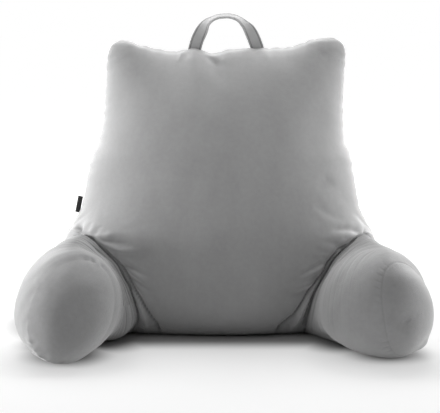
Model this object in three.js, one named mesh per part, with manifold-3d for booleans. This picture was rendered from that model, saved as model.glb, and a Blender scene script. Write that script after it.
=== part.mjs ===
// A bed-rest reading pillow: a filled back cushion with two ears, two bolster arms, a strap handle and
// a blank side label.
// Millimetres, +Z up, the sitter's side towards -Y. The pillow stands on its base at z = 0.
import * as THREE from 'three';
import { ParametricGeometry } from 'three/addons/geometries/ParametricGeometry.js';
import { mergeVertices } from 'three/addons/utils/BufferGeometryUtils.js';
import Module from 'manifold-3d';

const wasm = await Module();
wasm.setup();

// Driving dimensions
const SEWN_GAP = 0.38; // clearance along the normals between sewn pieces, at least 0.3 in the creases
const STRAP_WIDTH = 23; // handle strap
const STRAP_THICK = 4;
const LABEL_HEIGHT = 29; // side label, along the seam
const LABEL_REACH = 5.5; // how far it stands out of the seam
const LABEL_ROOT = 6; // how far it reaches into the seam before it is trimmed
const LABEL_THICK = 2;
const LABEL_FOOT = 193; // height of its lower edge
const LABEL_LEAN = 0.2; // radians, with the slope of the side
const CAP_CROWN = 42; // how far an arm's end cap bulges from its seam
const CAP_FULLNESS = 3; // and how far out it stays full
const LIFT_START = 330; // the top edge's sag fades out at this height
const FOLD_FADE = 30; // folds fade where the front bulges less than this

// Fullness of the sections, 2 is an ellipse and more is squarer
const BACK_SQUARE = 2;
const BACK_ROUND = 2;
const ARM_ROUND = 2;
const ARM_SQUASH = 2.15;
const STRAP_SQUARE = 5;

// Mesh fineness
const BACK_COLUMNS = 84; // an even number, so that front and rear meet in the top seam
const BACK_ROWS_A_SECTION = 3;
const ARM_COLUMNS = 40;
const ARM_TUBE_ROWS = 24;
const ARM_CAP_ROWS = 7;
const STRAP_COLUMNS = 10;
const STRAP_ROWS = 34;
const LABEL_NOSE_SEGMENTS = 5;

// Back cushion, a row per level section from the floor to the top seam: half width, shift of its middle,
// depth of the side seam, and how far the front and the rear bulge from that seam
const BACK_SECTIONS = [
  { height: 0, half: 248, middle: -1, seam: 10, front: 97, rear: 83 },
  { height: 9, half: 264, middle: -1, seam: 10, front: 114, rear: 99 },
  { height: 28, half: 278, middle: -1, seam: 10, front: 128, rear: 113 },
  { height: 60, half: 283, middle: -1, seam: 11, front: 135, rear: 120 },
  { height: 100, half: 281, middle: -1, seam: 13, front: 136, rear: 121 },
  { height: 150, half: 272, middle: 0, seam: 19, front: 131, rear: 117 },
  { height: 205, half: 244, middle: 1, seam: 26, front: 123, rear: 111 },
  { height: 262, half: 233, middle: 2, seam: 35, front: 113, rear: 103 },
  { height: 292, half: 227, middle: 3, seam: 40.5, front: 107.5, rear: 97.5 },
  { height: 320, half: 215, middle: 3, seam: 46, front: 101, rear: 91 },
  { height: 376, half: 210, middle: 6.5, seam: 57, front: 85, rear: 76 },
  { height: 424, half: 210, middle: 10, seam: 67, front: 64, rear: 58 },
  { height: 455, half: 211, middle: 11, seam: 73, front: 45, rear: 41 },
  { height: 473, half: 208, middle: 12, seam: 77, front: 30, rear: 28 },
  { height: 482, half: 200, middle: 12, seam: 79, front: 17, rear: 16 },
  { height: 486, half: 187, middle: 12, seam: 80, front: 0, rear: 0 },
];

// Top edge between the ears: how far it lies above or below the top section
const TOP_EDGE = [
  { x: -205, lift: 0 },
  { x: -168, lift: 4 },
  { x: -132, lift: -4 },
  { x: -80, lift: -14 },
  { x: -46, lift: -9 },
  { x: -12, lift: -17 },
  { x: 12, lift: -10 },
  { x: 62, lift: -7 },
  { x: 112, lift: -7 },
  { x: 168, lift: 8 },
  { x: 190, lift: 9 },
  { x: 226, lift: 4 },
];

// Folds of the front panel, each between two points of the front view; raise is outwards, and a trough's
// is negative
const FRONT_FOLDS = [
  { name: 'left gusset crease', x0: -176, z0: 136, x1: -107, z1: 5, width: 20, raise: -6 },
  { name: 'right gusset crease', x0: 198, z0: 147, x1: 103, z1: 10, width: 20, raise: -6 },
  { name: 'left upper ridge', x0: -190, z0: 167, x1: -158, z1: 175, width: 15, raise: 3 },
  { name: 'left middle ridge', x0: -180, z0: 149, x1: -131, z1: 136, width: 15, raise: 3 },
  { name: 'left trough', x0: -156, z0: 122, x1: -112, z1: 88, width: 16, raise: -3 },
  { name: 'right trough', x0: 178, z0: 178, x1: 236, z1: 178, width: 16, raise: -4 },
  { name: 'right dent', x0: 180, z0: 252, x1: 196, z1: 268, width: 26, raise: -3 },
  { name: 'handle fold', x0: -14, z0: 464, x1: 8, z1: 452, width: 13, raise: 3 },
  { name: 'handle trough', x0: 3, z0: 448, x1: 2, z1: 418, width: 16, raise: -3 },
  { name: 'left leg pucker', x0: -57, z0: 468, x1: -68, z1: 450, width: 12, raise: 3 },
  { name: 'right leg pucker', x0: 62, z0: 470, x1: 74, z1: 452, width: 12, raise: 2 },
];

// Arm sleeve, a row per share of its length: half width, top, height of the widest place, and underside,
// which is pressed flat where it would go below the floor
const ARM_SECTIONS = [
  { share: 0, half: 56, top: 148, widest: 64, under: -10 },
  { share: 0.15, half: 74, top: 162, widest: 60, under: -16 },
  { share: 0.35, half: 88, top: 168, widest: 60, under: -8 },
  { share: 0.55, half: 89, top: 168, widest: 65, under: -3 },
  { share: 0.7, half: 88, top: 169.5, widest: 70, under: -2 },
  { share: 0.8, half: 85.5, top: 171.5, widest: 74, under: -2 },
  { share: 0.88, half: 81.8, top: 171, widest: 77, under: -1 },
  { share: 0.94, half: 77, top: 167.5, widest: 79, under: 0.5 },
  { share: 1, half: 69.5, top: 159.5, widest: 82, under: 4 },
];

// The two arms in plan: the route from inside the back, over two bends that shape it, to the cap seam.
// The lean shifts the top inwards at the root and at the cap, the tilt sets the cap's top back, the toe
// widens the inner foot where the arm leaves the back, and the root's width is against the table's.
// The neck is drawn in about some turns, in degrees from the right over the top, up to the end of its shares
const ARMS = [
  { name: 'arm_left', side: -1, route: [[-163, 40], [-252, -60], [-258, -184], [-233, -262]],
    rootLean: -20, capLean: 19, capTilt: 24, toe: 60, rootWidth: 0.92, neckShares: [0.45, 1],
    neck: [{ turn: 60, spread: 24, depth: 0.09 }] },
  { name: 'arm_right', side: 1, route: [[182, 40], [229, -62], [233, -194], [286, -248]],
    rootLean: -46, capLean: 12, capTilt: 4, toe: 78, rootWidth: 0.7, neckShares: [0.4, 0.7],
    neck: [{ turn: 115, spread: 24, depth: 0.09 }, { turn: 190, spread: 30, depth: 0.08 }] },
];
const TOE_HEIGHT = 110; // the toe fades out at this height
const TOE_SHARE = 0.6; // and at this share of the arm
const ROOT_SHARES = [0.3, 0.7]; // between these the root's width goes over into the table's
const TILT_SHARES = [0.4, 1]; // between these the tilt grows

// Handle strap, from the left leg over the arch to the right leg: place in the front view above the top
// edge, and the turn of the strap's width from facing the front
const STRAP_STATIONS = [
  { x: -47, rise: -14, roll: 0 },
  { x: -45, rise: 0, roll: 0 },
  { x: -40, rise: 18, roll: 4 },
  { x: -32, rise: 35, roll: 22 },
  { x: -23, rise: 49, roll: 58 },
  { x: -11, rise: 56.5, roll: 74 },
  { x: 13, rise: 60.5, roll: 75 },
  { x: 29, rise: 57, roll: 72 },
  { x: 42, rise: 47.5, roll: 58 },
  { x: 53, rise: 34, roll: 24 },
  { x: 61, rise: 17, roll: 5 },
  { x: 66, rise: 3, roll: 0 },
  { x: 68, rise: -12, roll: 0 },
];
const STRAP_BASE = 472; // height from which the rise is counted
const STRAP_DEPTH = 80; // depth of the top seam that holds the legs

const fabric = { color: 0x8d8d8e, roughness: 0.95, metalness: 0 };
const labelCloth = { color: 0x141414, roughness: 0.8, metalness: 0 };

// The angle of a place around a section; the last place is the first again
const fullTurn = u => 2 * Math.PI * (u % 1);

// A signed power, which turns a circle's cosine and sine into a superellipse's
const power = (value, exponent) => Math.sign(value) * Math.abs(value) ** exponent;

// A smooth curve through the points (xs, ys) that never overshoots between two of them
function smoothCurve(xs, ys) {
  const steps = xs.slice(1).map((x, i) => x - xs[i]);
  const rates = steps.map((step, i) => (ys[i + 1] - ys[i]) / step);
  const slopes = xs.map((_, i) => {
    if (i === 0) return rates[0];
    if (i === rates.length) return rates[i - 1];
    if (rates[i - 1] * rates[i] <= 0) return 0;
    const before = 2 * steps[i] + steps[i - 1];
    const after = steps[i] + 2 * steps[i - 1];
    return (before + after) / (before / rates[i - 1] + after / rates[i]);
  });
  return x => {
    const held = THREE.MathUtils.clamp(x, xs[0], xs[xs.length - 1]);
    const found = xs.findIndex(value => value > held) - 1;
    const i = found < 0 ? steps.length - 1 : found;
    const t = (held - xs[i]) / steps[i];
    const startPart = (1 + 2 * t) * (1 - t) ** 2 * ys[i] + t * (1 - t) ** 2 * steps[i] * slopes[i];
    const endPart = t * t * (3 - 2 * t) * ys[i + 1] + t * t * (t - 1) * steps[i] * slopes[i + 1];
    return startPart + endPart;
  };
}

// One smooth curve per named column of a table, all against the same places
function tableCurves(rows, places, columns) {
  return Object.fromEntries(columns.map(name => [name, smoothCurve(places, rows.map(row => row[name]))]));
}

// A closed body from a point function of (around, along), with its seam and poles merged
function closedSolid(pointAt, columns, rows) {
  const geometry = new ParametricGeometry(pointAt, columns, rows);
  return solidOf(geometry);
}

// The solid inside a closed geometry, without the empty triangles of its poles
function solidOf(geometry) {
  const merged = mergedPositions(geometry);
  const corners = merged.index.array;
  const kept = [];
  for (let i = 0; i < corners.length; i += 3) {
    const [a, b, c] = corners.slice(i, i + 3);
    if (a !== b && b !== c && c !== a) kept.push(a, b, c);
  }
  const vertProperties = new Float32Array(merged.attributes.position.array);
  return new wasm.Manifold(new wasm.Mesh({ numProp: 3, vertProperties, triVerts: Uint32Array.from(kept) }));
}

function mergedPositions(geometry) {
  const bare = geometry.clone();
  bare.deleteAttribute('normal');
  bare.deleteAttribute('uv');
  return mergeVertices(bare);
}

function geometryOf(solid) {
  const mesh = solid.getMesh();
  const geometry = new THREE.BufferGeometry();
  geometry.setAttribute('position', new THREE.BufferAttribute(mesh.vertProperties, mesh.numProp));
  geometry.setIndex(new THREE.BufferAttribute(mesh.triVerts, 1));
  geometry.computeVertexNormals();
  return geometry;
}

// A solid grown outwards by a clearance, to trim what is sewn onto it
function grown(solid, clearance) {
  const geometry = geometryOf(solid);
  const { position, normal } = geometry.attributes;
  for (let i = 0; i < position.count; i++) {
    position.setXYZ(
      i,
      position.getX(i) + clearance * normal.getX(i),
      position.getY(i) + clearance * normal.getY(i),
      position.getZ(i) + clearance * normal.getZ(i),
    );
  }
  return solidOf(geometry);
}

// Back cushion
const sectionIndex = BACK_SECTIONS.map((_, i) => i);
const backLevel = tableCurves(BACK_SECTIONS, sectionIndex, Object.keys(BACK_SECTIONS[0]));
const rowAtHeight = smoothCurve(BACK_SECTIONS.map(row => row.height), sectionIndex);
const backTop = BACK_SECTIONS.at(-1).height;
const topLift = smoothCurve(TOP_EDGE.map(row => row.x), TOP_EDGE.map(row => row.lift));

function distanceToFold(fold, x, z) {
  const dx = fold.x1 - fold.x0;
  const dz = fold.z1 - fold.z0;
  const along = ((x - fold.x0) * dx + (z - fold.z0) * dz) / (dx * dx + dz * dz);
  const t = THREE.MathUtils.clamp(along, 0, 1);
  return Math.hypot(x - fold.x0 - t * dx, z - fold.z0 - t * dz);
}

const frontRelief = (x, z) => FRONT_FOLDS.reduce(
  (sum, fold) => sum + fold.raise * Math.exp(-((distanceToFold(fold, x, z) / fold.width) ** 2)), 0);

const backRows = BACK_ROWS_A_SECTION * (BACK_SECTIONS.length - 1) + 1;

// A level superellipse section, whose first row closes the flat base and whose last is the top seam
function backPoint(u, v, target) {
  const step = v * backRows;
  const spread = Math.min(step, 1);
  const row = Math.max(step - 1, 0) / BACK_ROWS_A_SECTION;
  const turn = fullTurn(u);
  const across = spread * power(Math.cos(turn), 2 / BACK_SQUARE);
  const deep = spread * power(Math.sin(turn), 2 / BACK_ROUND);
  const x = backLevel.middle(row) + backLevel.half(row) * across;
  const level = backLevel.height(row);
  const sag = THREE.MathUtils.clamp((level - LIFT_START) / (backTop - LIFT_START), 0, 1) ** 2;
  const z = level + sag * topLift(x);
  const bulge = deep < 0 ? backLevel.front(row) : backLevel.rear(row);
  const relief = frontRelief(x, z) * Math.max(-deep, 0) * Math.min(bulge / FOLD_FADE, 1);
  target.set(x, backLevel.seam(row) + bulge * deep - relief, z);
}

const backSolid = closedSolid(backPoint, BACK_COLUMNS, backRows);
const backTrim = grown(backSolid, SEWN_GAP);

// Bolster arms
const armShares = ARM_SECTIONS.map(row => row.share);
const armSection = tableCurves(ARM_SECTIONS, armShares, Object.keys(ARM_SECTIONS[0]));
const armRows = 1 + ARM_TUBE_ROWS + ARM_CAP_ROWS;

// How far the section of an arm is drawn in at its neck, as a factor
function neckFactor(arm, turn, share) {
  const degrees = THREE.MathUtils.radToDeg(turn);
  const drawn = arm.neck.reduce((sum, mark) => {
    const aside = THREE.MathUtils.euclideanModulo(degrees - mark.turn + 180, 360) - 180;
    return sum + mark.depth * Math.exp(-((aside / mark.spread) ** 2));
  }, 0);
  return 1 - drawn * (1 - THREE.MathUtils.smoothstep(share, ...arm.neckShares));
}

function armPoint(arm) {
  const route = new THREE.CubicBezierCurve(...arm.route.map(place => new THREE.Vector2(...place)));
  // A flattened round section carried along the route, closed inside the back and by the crowned end cap
  return (u, v, target) => {
    const step = v * armRows;
    const share = THREE.MathUtils.clamp((step - 1) / ARM_TUBE_ROWS, 0, 1);
    const cap = Math.max((step - 1 - ARM_TUBE_ROWS) / ARM_CAP_ROWS, 0);
    const closing = Math.min(step, 1 - cap, 1);
    const crown = cap > 0 ? CAP_CROWN * (1 - closing ** CAP_FULLNESS) : 0;
    const place = route.getPoint(share);
    const forward = route.getTangent(share);
    const turn = fullTurn(u);
    const shrink = closing * neckFactor(arm, turn, share);
    const up = Math.sin(turn);
    const fullness = 2 / (up < 0 ? ARM_SQUASH : ARM_ROUND);
    const widest = armSection.widest(share);
    const topReach = armSection.top(share) - widest;
    const reach = up < 0 ? widest - armSection.under(share) : topReach;
    const z = Math.max(widest + shrink * reach * power(up, fullness), 0);
    const inward = Math.max(-arm.side * Math.cos(turn), 0);
    const toeFade = Math.max(1 - share / TOE_SHARE, 0) * Math.max(1 - z / TOE_HEIGHT, 0);
    const toe = arm.toe * inward * shrink * toeFade;
    const lean = THREE.MathUtils.lerp(arm.rootLean, arm.capLean, share) * (z - widest) / topReach;
    const width = THREE.MathUtils.lerp(arm.rootWidth, 1, THREE.MathUtils.smoothstep(share, ...ROOT_SHARES));
    const half = shrink * width * armSection.half(share) * power(Math.cos(turn), fullness);
    const offset = half - arm.side * (toe + lean);
    const tilt = arm.capTilt * THREE.MathUtils.smoothstep(share, ...TILT_SHARES);
    const push = crown - tilt * (z - widest) / topReach;
    target.set(
      place.x - forward.y * offset + forward.x * push,
      place.y + forward.x * offset + forward.y * push,
      z,
    );
  };
}

// Handle strap
const strapShares = STRAP_STATIONS.map((_, i) => i / (STRAP_STATIONS.length - 1));
const strapRoll = smoothCurve(strapShares, STRAP_STATIONS.map(row => row.roll));
const strapRows = 1 + STRAP_ROWS + 1;
const strapRoute = new THREE.CatmullRomCurve3(
  STRAP_STATIONS.map(row => new THREE.Vector3(row.x, STRAP_DEPTH, STRAP_BASE + row.rise)));

// A flat rounded section carried along the arch, rolled by the table and closed at both ends
function strapPoint(u, v, target) {
  const step = v * strapRows;
  const share = THREE.MathUtils.clamp((step - 1) / STRAP_ROWS, 0, 1);
  const shrink = Math.min(step, strapRows - step, 1);
  const place = strapRoute.getPoint(share);
  const heading = strapRoute.getTangent(share);
  const outward = new THREE.Vector3(-heading.z, 0, heading.x);
  const roll = THREE.MathUtils.degToRad(strapRoll(share));
  const rear = new THREE.Vector3(0, 1, 0);
  const wide = outward.clone().multiplyScalar(Math.cos(roll)).addScaledVector(rear, Math.sin(roll));
  const thick = new THREE.Vector3().crossVectors(heading, wide);
  const turn = fullTurn(u);
  const across = shrink * STRAP_WIDTH / 2 * power(Math.cos(turn), 2 / STRAP_SQUARE);
  const through = shrink * STRAP_THICK / 2 * power(Math.sin(turn), 2 / STRAP_SQUARE);
  target.copy(place).addScaledVector(wide, across).addScaledVector(thick, through);
}

// Side label, a folded strip with a round nose, standing out of the left side seam
function labelSolid() {
  const row = rowAtHeight(LABEL_FOOT);
  const edge = backLevel.middle(row) - backLevel.half(row);
  const nose = LABEL_THICK / 2;
  const outline = new THREE.Shape();
  outline.moveTo(LABEL_ROOT, -nose);
  outline.lineTo(LABEL_ROOT, nose);
  outline.lineTo(nose - LABEL_REACH, nose);
  outline.absarc(nose - LABEL_REACH, 0, nose, Math.PI / 2, 3 * Math.PI / 2);
  const strip = new THREE.ExtrudeGeometry(outline, {
    depth: LABEL_HEIGHT, bevelEnabled: false, curveSegments: LABEL_NOSE_SEGMENTS });
  strip.rotateY(LABEL_LEAN);
  strip.translate(edge, backLevel.seam(row), LABEL_FOOT);
  return solidOf(strip);
}

// The pillow, moved so that its origin is under the middle of its box
const pillow = new THREE.Group();

function addPiece(name, solid, finish) {
  const mesh = new THREE.Mesh(geometryOf(solid), new THREE.MeshStandardMaterial(finish));
  mesh.name = name;
  pillow.add(mesh);
}

addPiece('back', backSolid, fabric);
for (const arm of ARMS) {
  const sleeve = closedSolid(armPoint(arm), ARM_COLUMNS, armRows);
  addPiece(arm.name, sleeve.subtract(backTrim), fabric);
}
addPiece('handle', closedSolid(strapPoint, STRAP_COLUMNS, strapRows).subtract(backTrim), fabric);
addPiece('label', labelSolid().subtract(backTrim), labelCloth);

const middle = new THREE.Box3().setFromObject(pillow).getCenter(new THREE.Vector3());
pillow.position.set(-middle.x, -middle.y, 0);

export default pillow;
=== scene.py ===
import math

import bpy
import numpy as np
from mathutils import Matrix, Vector


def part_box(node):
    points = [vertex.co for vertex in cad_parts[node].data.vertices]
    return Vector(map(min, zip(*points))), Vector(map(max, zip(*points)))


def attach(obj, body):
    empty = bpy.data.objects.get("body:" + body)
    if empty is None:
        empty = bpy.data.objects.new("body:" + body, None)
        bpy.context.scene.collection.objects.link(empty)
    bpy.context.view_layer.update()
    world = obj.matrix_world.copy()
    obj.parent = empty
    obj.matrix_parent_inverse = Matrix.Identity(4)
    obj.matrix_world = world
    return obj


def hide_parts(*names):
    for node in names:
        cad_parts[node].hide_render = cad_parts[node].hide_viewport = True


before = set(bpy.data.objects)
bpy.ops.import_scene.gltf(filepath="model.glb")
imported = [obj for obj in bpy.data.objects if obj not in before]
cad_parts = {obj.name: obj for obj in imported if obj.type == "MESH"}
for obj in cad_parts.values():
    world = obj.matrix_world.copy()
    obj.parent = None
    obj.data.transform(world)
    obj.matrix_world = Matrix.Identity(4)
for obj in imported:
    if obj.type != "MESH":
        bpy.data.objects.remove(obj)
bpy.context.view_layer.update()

MM = 0.001

# Back cushion, a row per level section from the floor to the top seam: height, half width, shift of its
# middle, depth of the side seam, and how far the front and the rear bulge from that seam
BACK_COLUMNS = ("height", "half", "middle", "seam", "front", "rear")
BACK_SECTIONS = np.array([
    (0, 248, -1, 10, 97, 83),
    (9, 264, -1, 10, 114, 99),
    (28, 278, -1, 10, 128, 113),
    (60, 283, -1, 11, 135, 120),
    (100, 281, -1, 13, 136, 121),
    (150, 272, 0, 19, 131, 117),
    (205, 244, 1, 26, 123, 111),
    (262, 233, 2, 35, 113, 103),
    (292, 227, 3, 40.5, 107.5, 97.5),
    (320, 215, 3, 46, 101, 91),
    (376, 210, 6.5, 57, 85, 76),
    (424, 210, 10, 67, 64, 58),
    (455, 211, 11, 73, 45, 41),
    (473, 208, 12, 77, 30, 28),
    (482, 200, 12, 79, 17, 16),
    (486, 187, 12, 80, 0, 0),
], float)
BACK = dict(zip(BACK_COLUMNS, BACK_SECTIONS.T))
BACK_TOP = BACK["height"][-1]
BACK_MIDDLE = BACK["middle"][0]
REAR_REACH = (BACK["seam"] + BACK["rear"]).max()
BACK_SQUARE = 2.0
BACK_ROUND = 2.0
LEAST_BULGE = 0.001
LIFT_START = 330

# Top edge between the ears: x, and how far it lies above or below the top section
TOP_EDGE = np.array([
    (-205, 0), (-168, 4), (-132, -4), (-80, -14), (-46, -9), (-12, -17),
    (12, -10), (62, -7), (112, -7), (168, 8), (190, 9), (226, 4),
], float)

# Arm sleeve, a row per share of its length: share, half width, top, height of the widest place, underside
ARM_COLUMNS = ("share", "half", "top", "widest", "under")
ARM_SECTIONS = np.array([
    (0, 56, 148, 64, -10),
    (0.15, 74, 162, 60, -16),
    (0.35, 88, 168, 60, -8),
    (0.55, 89, 168, 65, -3),
    (0.7, 88, 169.5, 70, -2),
    (0.8, 85.5, 171.5, 74, -2),
    (0.88, 81.8, 171, 77, -1),
    (0.94, 77, 167.5, 79, 0.5),
    (1.0, 69.5, 159.5, 82, 4),
], float)
ARM = dict(zip(ARM_COLUMNS, ARM_SECTIONS.T))
ARM_ROUND = 2.0
ARM_SQUASH = 2.15
CAP_CROWN = 42
CAP_FULLNESS = 3.0
TOE_HEIGHT = 110
TOE_SHARE = 0.6
ROOT_SHARES = (0.3, 0.7)
TILT_SHARES = (0.4, 1.0)

# The two arms in plan: start inside the back, two bends that shape the route, and end; their leans and toe,
# how wide the root is against the table, and where the neck is drawn in: turn in degrees about the sleeve,
# spread, share of the section, and the shares of the length between which it fades out
ARMS = {
    "arm_left": dict(
        side=-1, route=[(-163, 40), (-252, -60), (-258, -184), (-233, -262)],
        root_lean=-20, cap_lean=19, cap_tilt=24, toe=60, root_width=0.92,
        neck=[("upper inner", 60, 24, 0.09)], neck_shares=(0.45, 1.0),
    ),
    "arm_right": dict(
        side=1, route=[(182, 40), (229, -62), (233, -194), (286, -248)],
        root_lean=-46, cap_lean=12, cap_tilt=4, toe=78, root_width=0.7,
        neck=[("upper inner", 115, 24, 0.09), ("lower inner", 190, 30, 0.08)], neck_shares=(0.4, 0.7),
    ),
}

# Handle strap from the left leg over the arch to the right leg: x, rise above STRAP_BASE, roll in degrees
STRAP_STATIONS = np.array([
    (-47, -14, 0), (-45, 0, 0), (-40, 18, 4), (-32, 35, 22), (-23, 49, 58), (-11, 56.5, 74),
    (13, 60.5, 75), (29, 57, 72), (42, 47.5, 58), (53, 34, 24), (61, 17, 5), (66, 3, 0), (68, -12, 0),
], float)
STRAP_BASE = 472
STRAP_DEPTH = 80
STRAP_WIDTH = 23
STRAP_THICK = 3.6

# Side label in the left seam
LABEL_HEIGHT = 29
LABEL_REACH = 5.5
LABEL_ROOT = 3
LABEL_THICK = 1.7
LABEL_FOOT = 193
LABEL_LEAN = 0.2

# The shared frame's place of the pillow's own origin
back_low, back_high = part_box("back")
SHIFT = np.array([
    (back_low.x + back_high.x) / 2 - BACK_MIDDLE * MM,
    back_high.y - REAR_REACH * MM,
    0.0,
])


# Curves and arrays

FINE = 2001
RIPPLE_WAVES = 7
RIPPLE_SPREAD = (0.7, 1.4)
RIPPLE_HEIGHT = 1.8
SMALL = 1e-9


def hermite(xs, ys, slopes, at):
    """Cubic Hermite curve through (xs, ys) with the given slopes, held constant beyond its ends."""
    held = np.clip(at, xs[0], xs[-1])
    i = np.clip(np.searchsorted(xs, held, side="right") - 1, 0, len(xs) - 2)
    step = xs[i + 1] - xs[i]
    t = (held - xs[i]) / step
    start = (1 + 2 * t) * (1 - t) ** 2 * ys[i] + t * (1 - t) ** 2 * step * slopes[i]
    return start + t * t * (3 - 2 * t) * ys[i + 1] + t * t * (t - 1) * step * slopes[i + 1]


def smooth_curve(xs, ys, at):
    """Monotone cubic: each slope is the weighted harmonic mean of the rates beside it, or zero at a turn."""
    steps = np.diff(xs)
    rates = np.diff(ys) / steps
    before = 2 * steps[1:] + steps[:-1]
    after = steps[1:] + 2 * steps[:-1]
    same_way = rates[:-1] * rates[1:] > 0
    left = np.where(same_way, rates[:-1], 1)
    right = np.where(same_way, rates[1:], 1)
    inner = np.where(same_way, (before + after) / (before / left + after / right), 0)
    return hermite(xs, ys, np.concatenate([rates[:1], inner, rates[-1:]]), at)


def flowing_curve(places, points, at):
    """Smooth path through points: a Hermite curve whose slopes join each point's two neighbours."""
    slopes = np.gradient(points, places, axis=0)
    return np.stack([hermite(places, points[:, k], slopes[:, k], at) for k in range(points.shape[1])], -1)


def signed_power(value, exponent):
    """A power that keeps its sign, which turns a circle's cosine and sine into a superellipse's."""
    return np.sign(value) * np.abs(value) ** exponent


def smoothstep(value, low, high):
    """The cubic 3t^2 - 2t^3 that rises from 0 at low to 1 at high."""
    t = np.clip((value - low) / (high - low), 0, 1)
    return t * t * (3 - 2 * t)


def bell(distance, width):
    """A Gaussian bump of height 1 that falls to 1/e at the width."""
    return np.exp(-(distance / width) ** 2)


def even_places(points, count, density=1.0):
    """Places 0 to 1 along a path at which count points lie at even lengths along it, or closer where the
    density of a stretch is higher."""
    steps = np.linalg.norm(np.diff(points, axis=0), axis=1) * density
    lengths = np.concatenate([[0], np.cumsum(steps)])
    return np.interp(np.linspace(0, lengths[-1], count), lengths, np.linspace(0, 1, len(points)))


def line_place(points, line):
    """Distance of points from a line of straight pieces, and the share of it before the nearest place."""
    starts, ways = line[:-1], np.diff(line, axis=0)
    lengths = np.linalg.norm(ways, axis=1)
    before = np.concatenate([[0], np.cumsum(lengths)[:-1]])
    nearest = np.full(points.shape[:-1], np.inf)
    share = np.zeros(points.shape[:-1])
    for start, way, length, passed in zip(starts, ways, lengths, before):
        along = np.clip((points - start) @ way / length ** 2, 0, 1)
        away = np.linalg.norm(points - start - along[..., None] * way, axis=-1)
        share = np.where(away < nearest, (passed + along * length) / lengths.sum(), share)
        nearest = np.minimum(nearest, away)
    return nearest, share


def line_distance(points, line):
    """Distance of points from a line of straight pieces."""
    return line_place(points, line)[0]


def ripple(points, wavelength, seed):
    """Soft noise about 0: a mean of sine waves in seeded directions, all about one wavelength long."""
    draw = np.random.default_rng(seed)
    directions = draw.normal(size=(RIPPLE_WAVES, points.shape[-1]))
    directions /= np.linalg.norm(directions, axis=1, keepdims=True)
    scales = 2 * np.pi / wavelength * draw.uniform(*RIPPLE_SPREAD, RIPPLE_WAVES)
    phases = draw.uniform(0, 2 * np.pi, RIPPLE_WAVES)
    return np.sin(points @ (directions * scales[:, None]).T + phases).mean(-1) * RIPPLE_HEIGHT


def ripples(points, rows):
    """Sum of ripples, a row for each: height, wavelength and seed."""
    return sum(height * ripple(points, wavelength, seed) for height, wavelength, seed in rows)


def along_columns(points):
    """Length from the first row along each column of a grid of points."""
    steps = np.linalg.norm(np.diff(points, axis=0), axis=-1)
    return np.concatenate([np.zeros((1, points.shape[1])), np.cumsum(steps, 0)])


def along_rows(points):
    """Length from the first column along each closed row of a grid, and the whole length of each row."""
    steps = np.linalg.norm(np.roll(points, -1, axis=1) - points, axis=-1)
    total = steps.sum(1, keepdims=True)
    return np.cumsum(steps, 1) - steps, total


def grid_normals(points):
    """Outward unit normals of a grid that closes around: the cross product of its two directions."""
    around = np.roll(points, -1, axis=1) - np.roll(points, 1, axis=1)
    along = np.gradient(points, axis=0)
    normals = np.cross(around, along)
    return normals / np.maximum(np.linalg.norm(normals, axis=-1, keepdims=True), SMALL)


# Meshes

def placed(name, data):
    """A new object in the scene."""
    thing = bpy.data.objects.new(name, data)
    bpy.context.scene.collection.objects.link(thing)
    return thing


def closed_mesh(name, points, zipped=False):
    """Object of a grid that closes around, moved into the shared frame. The first row is one point, and so is
    the last or, zipped, it is a seam where mirrored columns meet. Returns the object and each grid point's
    vertex."""
    rows, columns = points.shape[:2]
    index = np.arange(rows * columns).reshape(rows, columns)
    index[0] = index[0, 0]
    column = np.arange(columns)
    index[-1] = index[-1, np.minimum(column, -column % columns)] if zipped else index[-1, 0]
    right = np.roll(index, -1, axis=1)
    corners = np.stack([index[:-1], right[:-1], right[1:], index[1:]], -1).reshape(-1, 4)
    used, vertex = np.unique(index, return_inverse=True)
    lookup = np.zeros(index.size, int)
    lookup[used] = np.arange(len(used))
    corners = lookup[corners]
    kept = corners != np.roll(corners, -1, axis=1)
    starts = np.concatenate([[0], np.cumsum(kept.sum(1))[:-1]])
    mesh = bpy.data.meshes.new(name)
    mesh.vertices.add(len(used))
    mesh.vertices.foreach_set("co", (points.reshape(-1, 3)[used] * MM + SHIFT).ravel())
    mesh.loops.add(int(kept.sum()))
    mesh.loops.foreach_set("vertex_index", corners[kept])
    mesh.polygons.add(len(corners))
    mesh.polygons.foreach_set("loop_start", starts)
    mesh.polygons.foreach_set("use_smooth", np.ones(len(corners), bool))
    mesh.update(calc_edges=True)
    mesh.validate()
    return placed(name, mesh), vertex.reshape(rows, columns)


def paint_mask(piece, vertex, name, values):
    """Stores a value per grid point as a point attribute that the materials read."""
    stored = np.zeros(len(piece.data.vertices))
    stored[vertex] = values
    layer = piece.data.attributes.new(name, "FLOAT", "POINT")
    layer.data.foreach_set("value", stored)


# Cloth

SETTLE_FRAMES = 20
SLACK_STEPS = 8
CLOTH = dict(
    quality=6, mass=0.2, tension_stiffness=25, compression_stiffness=25, shear_stiffness=10,
    bending_stiffness=2, tension_damping=20, compression_damping=20, air_damping=4, use_pressure=True,
    uniform_pressure_force=4, vertex_group_mass="pinned", vertex_group_shrink="slack", shrink_min=0,
)


def weigh(piece, name, vertex, weights):
    """A vertex group with the grid's weights, rounded to a few steps."""
    group = piece.vertex_groups.new(name=name)
    steps = np.zeros(len(piece.data.vertices), int)
    steps[vertex] = np.rint(np.clip(weights, 0, 1) * SLACK_STEPS)
    for step in range(1, SLACK_STEPS + 1):
        group.add(np.flatnonzero(steps == step).tolist(), step / SLACK_STEPS, "REPLACE")


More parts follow.
